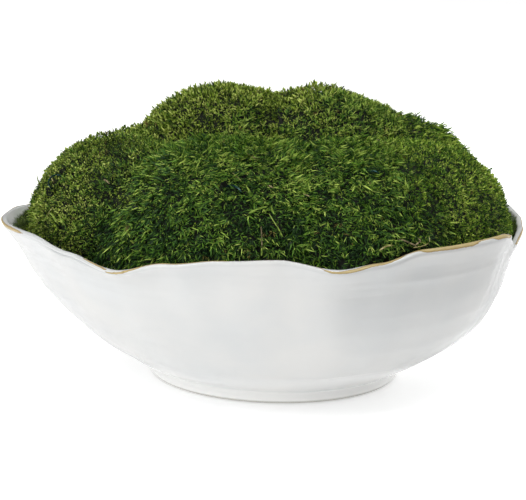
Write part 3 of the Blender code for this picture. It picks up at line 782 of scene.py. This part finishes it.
    for name, value in {"tint": "its tint", "dead": "withered", "guest": "strange"}.items():
        tinted = addNode(tree, "GeometryNodeStoreNamedAttribute", {
            "data_type": "FLOAT", "domain": "INSTANCE", "Name": name, "Geometry": tinted,
            "Value": values[value]})
    leaves = addNode(tree, "GeometryNodeRealizeInstances", {0: tinted})
    place = addNode(tree, "ShaderNodeCombineXYZ", {0: values["across"], 1: values["upwards"]})
    charted = addNode(tree, "GeometryNodeStoreNamedAttribute", {
        "data_type": "FLOAT2", "domain": "CORNER", "Name": "OFBake", "Geometry": leaves, "Value": place})
    own = addNode(tree, "GeometryNodeSetMaterial", {"Geometry": charted, "Material": asked["Leaf Finish"]})
    both = addNode(tree, "GeometryNodeSetMaterial", {
        "Geometry": own, "Selection": values["on a guest"], "Material": asked["Guest Finish"]})
    under = addNode(tree, "GeometryNodeObjectInfo", {"transform_space": "ORIGINAL", "Object": asked["Felt"]})
    joined = addNode(tree, "GeometryNodeJoinGeometry", {0: under.outputs["Geometry"]})
    tree.links.new(both.outputs[0], joined.inputs[0])
    addNode(tree, "NodeGroupOutput", {0: joined})
    return tree


def cushionPlace(name):
    centre, halves, turn = cushionForm[name]
    return Matrix.Translation(centre) @ Matrix.Rotation(math.radians(turn), 4, "Z"), Vector(halves)


def outsideOf(name, places):
    # about how far points are outside a cushion's plain ellipsoid, and which way is out
    place, halves = cushionPlace(name)
    inwards = np.array(place.inverted())
    local = (places @ inwards[:3, :3].T + inwards[:3, 3]) / np.array(halves)
    length = np.maximum(np.linalg.norm(local, axis=1), 1e-6)
    out = (local / np.array(halves)) @ np.array(place)[:3, :3].T
    out /= np.linalg.norm(out, axis=1)[:, None]
    return (length - 1) * np.linalg.norm(local * np.array(halves), axis=1) / length, out


def othersBy(name, places):
    # every other cushion, the distance from it at each place, the way out of it, and the width of their blend
    return [(other, *outsideOf(other, places), blend.get(name, {}).get(other, usualBlend))
            for other in cushionForm if other != name]


def fade(far, reach):
    return np.clip(1 - far / reach, 0, 1)


def seenAt(places):
    # where points show in the photograph's frame, in pixels
    away = places - np.array(eyePoint)
    depth = -(away @ np.array(back))
    return (middle[0] + focal * (away @ np.array(turnedRight)) / depth,
            middle[1] - focal * (away @ np.array(turnedUp)) / depth)


def spread(seen, u, v, radius):
    # 1 at a pixel of the photograph, and less away from it
    return np.exp(-((seen[0] - u) ** 2 + (seen[1] - v) ** 2) / radius**2)


# The noises on a cushion: their spacing in millimetres, the place in the noise of each of their values, and
# their strength.
unevenness = {
    "drift": (26, (5.0, 25.0, 45.0), 1.1), "swirl": (11, (65.0, 85.0, 105.0), 0.9),
    "guests": (6, (185.0,), 0.6), "vigour": (9, (125.0,), 0.35), "patch": (30, (145.0,), 0.16),
    "speckle": (8, (165.0,), 0.24),
}


def noiseAt(places, name):
    spacing, shifts, strength = unevenness[name]
    found = [[noise.noise(Vector(p) / spacing + Vector((shift, 0, 0))) for shift in shifts] for p in places]
    return strength * np.squeeze(found)


groundForm = {
    "cuts": 27, "hidden": 0.01,
    # cushions whose blend is this wide have grown together; the others crowd each other over this distance
    "together": 64, "crowding": 16,
    # guests come in over this distance, where the neighbour is of another kind, and up to this share
    "mingling": 22, "mingled": 0.65, "crept": 1.5, "mostCrept": 0.95,
    # beside a neighbour the shoots turn away from it, and by the wall they grow up along it
    "turning": 0.9, "wallReach": 9, "aside": 0.9, "upwards": 0.7, "wallSpare": 3.0, "leastRoom": 0.8,
    "wallSlope": 0.75,
    # moss grows from here to there outside the neighbours, and above these heights
    "open": (-6.0, -1.5), "above": (78, 92),
    # the light and dark patches of the photograph are on the side that it shows
    "facing": (0.0, 0.3), "tuftGain": 0.8, "mostTuft": 0.2, "tone": 0.45, "riseFrom": 145, "riseOver": 40,
}


def groundFor(name, wallFinder):
    # the part of the cushion's surface that light reaches, sunk to where its shoots start
    plan, form = growth[name], groundForm
    kind = shootKinds[plan["kind"]]
    place, halves = cushionPlace(name)
    cage = bmesh.new()
    bmesh.ops.create_cube(cage, size=2.0)
    bmesh.ops.subdivide_edges(cage, edges=cage.edges[:], cuts=form["cuts"], use_grid_fill=True)
    spots, normals = [], []
    for vertex in cage.verts:
        direction = vertex.co.normalized()
        onCushion = Vector(d * h for d, h in zip(direction, halves))
        lift = noise.noise((place @ onCushion) / lumps["packed"][0]) * lumps["packed"][1]
        normal = (place.to_3x3() @ Vector(d / h for d, h in zip(direction, halves))).normalized()
        spot = place @ (onCushion + direction * lift)
        spot += normal * noise.noise(spot / lumps["fine"][0]) * lumps["fine"][1]
        spots.append(spot)
        normals.append(normal)
    spots, normals = np.array(spots), np.array(normals)
    clear, leaning = np.full(len(spots), 1e3), normals.copy()
    bulge, crowd = np.zeros((2, len(spots)))
    guests = np.full(len(spots), plan["share"])
    for other, far, out, width in othersBy(name, spots):
        clear = np.minimum(clear, far)
        near = fade(far, width)  # the moss fills the crease between two cushions
        bulge = np.maximum(bulge, near**2 * width / 4)
        if width < form["together"]:
            crowd = np.maximum(crowd, fade(far, form["crowding"]))
        if growth[other]["kind"] != plan["kind"]:
            guests = np.maximum(guests, form["mingled"] * fade(far, form["mingling"]))
        leaning += out * (near * form["turning"])[:, None]
    spots += normals * bulge[:, None]
    normals = leaning / np.linalg.norm(leaning, axis=1)[:, None]
    sunk = spots - normals * (kind["depth"] + plan["low"] * (1 - crowd))[:, None]
    room, aside = [], []
    for spot in sunk:
        found, out, _, far = wallFinder.find_nearest(Vector(spot) * mm)
        inWall = (Vector(spot) * mm - found).dot(out) < 0
        beyond = out.z < form["wallSlope"] and out.xy.dot(found.xy) > 0
        room.append(0 if inWall or beyond else far / mm)
        aside.append(out)
    room = np.array(room)
    against = fade(room, form["wallReach"])
    alongWall = np.array(aside) * form["aside"] + np.array((0, 0, form["upwards"]))
    normals = normals + alongWall * against[:, None]
    normals /= np.linalg.norm(normals, axis=1)[:, None]
    cover = smoothStep(*form["open"], clear) * (room > form["leastRoom"])
    cover = cover * smoothStep(*form["above"], spots[:, 2])
    for vertex, spot in zip(cage.verts, sunk):
        vertex.co = Vector(spot) * mm
    cage.verts.index_update()
    hidden = [f.index for f in cage.faces if all(cover[v.index] <= form["hidden"] for v in f.verts)]
    mesh = bpy.data.meshes.new(name)
    cage.to_mesh(mesh)
    cage.free()
    fromCrown = sunk - np.array(plan["crown"])
    comb = fromCrown / np.linalg.norm(fromCrown, axis=1)[:, None]
    comb = comb + noiseAt(sunk, "drift") + noiseAt(sunk, "swirl")
    comb -= normals * np.sum(comb * normals, axis=1)[:, None]
    comb /= np.maximum(np.linalg.norm(comb, axis=1)[:, None], 1e-6)
    seen = seenAt(sunk)
    facing = smoothStep(*form["facing"], normals @ np.array(back))
    # bright clumps carry painted highlights, and the thin dark places painted shade
    tuftHighlightAndShade = sum(gain * spread(seen, u, v, radius) for u, v, radius, gain in tuftsHighlightsAndShade) * facing
    for host, u, v, radius in creeping:
        if host == name:
            crept = np.minimum(form["crept"] * spread(seen, u, v, radius), form["mostCrept"])
            guests = np.maximum(guests, crept * facing)
    vigour = (1.0 + noiseAt(sunk, "vigour")) * (1 + form["tuftGain"] * np.minimum(tuftHighlightAndShade, form["mostTuft"]))
    patch = form["tone"] + noiseAt(sunk, "patch") + noiseAt(sunk, "speckle") + tuftHighlightAndShade + plan["tone"]
    setAttribute(mesh, "cover", cover)
    setAttribute(mesh, "room", (room + form["wallSpare"] * against) * mm)
    setAttribute(mesh, "shootAxis", normals + comb * kind["lying"], "FLOAT_VECTOR")
    setAttribute(mesh, "comb", comb, "FLOAT_VECTOR")
    setAttribute(mesh, "guests", guests * (1 + noiseAt(sunk, "guests")))
    setAttribute(mesh, "vigour", vigour * (1 - kind["pressed"] * crowd))
    # painted light: the moss is brighter the higher it grows
    setAttribute(mesh, "patch", patch + plan["rise"] * (sunk[:, 2] - form["riseFrom"]) / form["riseOver"])
    shape = bmesh.new()
    shape.from_mesh(mesh)
    shape.faces.ensure_lookup_table()
    bmesh.ops.delete(shape, geom=[shape.faces[i] for i in hidden], context="FACES")
    shape.to_mesh(mesh)
    shape.free()
    return newObject(name + "_ground", mesh)


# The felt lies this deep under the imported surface, less where it meets a neighbour.
feltForm = {"depth": 4.2, "open": (-6.0, 1.0)}


def feltFor(name):
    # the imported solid, drawn in by the length of the living tips
    mesh = frame["nodes"][name].data.copy()
    shape = bmesh.new()
    shape.from_mesh(mesh)
    bmesh.ops.remove_doubles(shape, verts=shape.verts, dist=0.01 * mm)
    shape.normal_update()
    spots = np.array([v.co for v in shape.verts]) / mm
    clear, bulge, crowd = np.full(len(spots), 1e3), np.zeros(len(spots)), np.zeros(len(spots))
    for _, far, _, width in othersBy(name, spots):
        clear = np.minimum(clear, far)
        bulge = np.maximum(bulge, fade(far, width)**2 * width / 4)
        crowd = np.maximum(crowd, fade(far, groundForm["crowding"]))
    drawn = feltForm["depth"] + growth[name]["low"] * (1 - crowd) - bulge
    drawn = drawn * smoothStep(*feltForm["open"], clear)
    for vertex, co in zip(shape.verts, [v.co - v.normal * d * mm for v, d in zip(shape.verts, drawn)]):
        vertex.co = co
    sheet = shape.loops.layers.uv.new("OFBake")
    low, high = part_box(name)
    for f in shape.faces:
        for loop in f.loops:
            x = (loop.vert.co.x - low.x) / (high.x - low.x)
            z = (loop.vert.co.z - low.z) / (high.z - low.z)
            loop[sheet].uv = (min(max(x, 0), 1), leafChart["felt"] * min(max(z, 0), 1))
    made = bpy.data.meshes.new(name + "_felt")
    shape.to_mesh(made)
    shape.free()
    return newObject(name + "_felt", made, felt)


wallFinder = BVHTree.FromObject(bowl, bpy.context.evaluated_depsgraph_get())
shoots = bpy.data.collections.new("shoots")
for kind in shootKinds.values():
    for n in range(variants):
        shootName = "shoot_%02d" % len(shoots.objects)  # the tree numbers them in the order of their names
        shoots.objects.link(bpy.data.objects.new(shootName, shootMesh(kind, leafForm["seed"] + n)))
kindNumbers = {kindName: float(number) for number, kindName in enumerate(shootKinds)}
mossTree = growthTree()
total, grounds = 0, []
for name, plan in growth.items():
    ground, feltObject = groundFor(name, wallFinder), feltFor(name)
    grounds.append(BVHTree.FromObject(ground, bpy.context.evaluated_depsgraph_get()))
    guestKind, guestFinish = plan["guests"]
    kind = shootKinds[plan["kind"]]
    grown(ground, mossTree, {
        **growthSettings, "Felt": feltObject, "Shoots": shoots, "Seed": plan["seed"],
        "Spacing": plan["spacing"] * mm, "Kind": kindNumbers[plan["kind"]], "Reach": kind["reach"] * mm,
        "Leaf Finish": leafFinishes[plan["finish"]], "Guest Kind": kindNumbers[guestKind],
        "Guest Reach": shootKinds[guestKind]["reach"] * mm, "Guest Finish": leafFinishes[guestFinish],
        "Turn": math.radians(kind["turn"]), "Tall Share": kind["tall"]})
    ground.name = name.replace("moss_", "mossCushion_")
    bpy.data.objects.remove(feltObject)
    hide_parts(name)
    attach(ground, "root")
    triangles = sum(len(p.vertices) - 2 for p in ground.data.polygons)
    total += triangles
    print(ground.name, "is grown:", triangles, "triangles")
for shoot in list(shoots.objects):
    bpy.data.objects.remove(shoot)
bpy.data.collections.remove(shoots)
print("all the moss:", total, "triangles")

# A twig, stalks and blades of dry grass have caught on the moss. Each lies where the photograph shows it,
# on the tips of the shoots: its finish, its width in millimetres at its foot and at its tip, and its
# pixels.
bits = [
    ("dryTwig", (0.8, 1.1), [(394, 242.5), (400, 243), (406, 244.6), (411, 246.6)]),
    ("dryTwig", (1.1, 0.8), [(410, 246.8), (413, 244.3), (415.4, 242), (413, 239.4)]),
    ("paleStraw", (0.6, 0.8), [(409, 249), (415, 247.4), (420, 245.9), (423.5, 244.6)]),
    ("paleStraw", (0.6, 0.5), [(424, 239), (424.4, 244)]),
    ("paleStraw", (1.1, 1.0), [(377, 252), (381, 249.3), (385, 248), (390, 247.2)]),
    ("dryTwig", (0.7, 0.9), [(260, 229), (260.4, 236), (260.2, 246), (260, 250)]),
    ("freshBlade", (0.9, 1.5), [(260, 249), (259.8, 256)]),
    ("freshBlade", (0.6, 0.7), [(268, 218), (272, 225), (276, 231), (280.5, 239)]),
    ("paleStraw", (0.5, 0.6), [(58.5, 209), (56, 212), (53, 218)]),
    ("freshBlade", (1.0, 1.8), [(56, 214), (59, 218), (62, 223)]),
    ("paleStraw", (0.7, 0.9), [(54, 178), (56.5, 180.5), (58.5, 184)]),
    ("freshBlade", (0.8, 0.7), [(34, 229), (37, 226.5), (41, 223)]),
    ("freshBlade", (0.8, 1.2), [(37, 232), (40, 230.5), (43, 229)]),
    ("freshBlade", (1.7, 0.3), [(40, 184), (38, 180), (36.4, 173.5)]),
    ("freshBlade", (1.4, 0.5), [(250, 197), (248, 193.5), (246, 190.5)]),
    ("paleStraw", (0.4, 0.6), [(233, 178), (237, 181.5), (241, 185)]),
    ("freshBlade", (1.2, 0.4), [(330, 190), (332.5, 187), (335, 184)]),
    ("freshBlade", (1.1, 0.5), [(313, 196.5), (311.5, 193), (309.5, 188)]),
    ("paleStraw", (0.7, 0.7), [(305, 198), (309, 199.5), (313, 201)]),
    ("dryTwig", (1.4, 1.0), [(107, 184), (109.5, 185.4), (112, 187)]),
    ("dryTwig", (0.9, 0.7), [(267, 190), (270, 192.4), (273, 193)]),
    ("dryTwig", (1.0, 0.8), [(252, 163), (255, 164.4), (258, 164)]),
    ("dryTwig", (0.9, 0.7), [(377, 144), (380, 145.4), (382, 148)]),
]
# they lie this far above the shoots' roots; beside a gap they lie as far off as the moss so many pixels aside
bitForm = {"lift": 4.6, "aside": (0, 6, -6, 12, -12, 18, -18), "step": 1.5, "sides": 6, "ends": 0.5}
# Dead wood and dry grass are matt and fibrous; a blade that is still fresh is waxy and brighter.
bitFinishes = {
    "dryTwig": {"colours": ("#463e2c", "#7f7253", "#aea078"), "roughness": 0.85},
    "paleStraw": {"colours": ("#77723f", "#a39a5e", "#cfc794"), "roughness": 0.6},
    "freshBlade": {"colours": ("#587424", "#8aa63a", "#b5c765"), "roughness": 0.45},
}
bitMaterials = [mottled(name, {
    "shader": {"Roughness": look["roughness"]}, "grain": 2.5, "detail": 3.0,
    "stops": list(zip((0.35, 0.5, 0.65), look["colours"]))}) for name, look in bitFinishes.items()]


def pixelRay(u, v):
    # the way from the camera through a pixel of the photograph, for each unit of depth
    return turnedRight * ((u - middle[0]) / focal) - turnedUp * ((v - middle[1]) / focal) - back


def onMoss(u, v, lift):
    # the place on the tips of the moss at a pixel, or as far off as the nearest moss to its left or right
    for shift in bitForm["aside"]:
        ray = pixelRay(u + shift, v).normalized()
        hits = [hit for hit in (g.ray_cast(eyePoint * mm, ray) for g in grounds) if hit[0]]
        if hits:
            break
    spot, normal, _, _ = min(hits, key=lambda hit: hit[3])
    spot = spot / mm + normal * (lift if normal.dot(back) > 0 else -lift)
    return spot if shift == 0 else eyePoint + pixelRay(u, v) * (eyePoint - spot).dot(back)


def addStem(shape, path, width, material):
    # a closed stem along a path, from the one width to the other, with narrower ends
    line, sides = throughPoints(path, bitForm["step"]), bitForm["sides"]
    turns = [math.radians(360 / sides * n) for n in range(sides)]
    rings = []
    for t, spot, direction in zip(np.linspace(0, 1, len(line)), line, np.gradient(line, axis=0)):
        side = Vector(direction).cross(back).normalized()
        rise = side.cross(Vector(direction)).normalized()
        radius = (width[0] + (width[1] - width[0]) * t) / 2 * (bitForm["ends"] if t in (0, 1) else 1)
        ways = [side * math.cos(a) + rise * math.sin(a) for a in turns]
        rings.append([shape.verts.new((Vector(spot) + way * radius) * mm) for way in ways])
    faces = [shape.faces.new((below[n], below[(n + 1) % sides], above[(n + 1) % sides], above[n]))
             for below, above in zip(rings, rings[1:]) for n in range(sides)]
    faces += [shape.faces.new(rings[0][::-1]), shape.faces.new(rings[-1])]
    for face in faces:
        face.material_index = material


shape = bmesh.new()
for finish, width, path in bits:
    addStem(shape, [list(onMoss(u, v, bitForm["lift"])) for u, v in path], width,
            list(bitFinishes).index(finish))
bmesh.ops.recalc_face_normals(shape, faces=shape.faces)
litterMesh = bpy.data.meshes.new("mossLitter")
shape.to_mesh(litterMesh)
shape.free()
litter = newObject("mossLitter", litterMesh, *bitMaterials)
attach(litter, "root")
print("litter is laid:", len(bits), "bits")
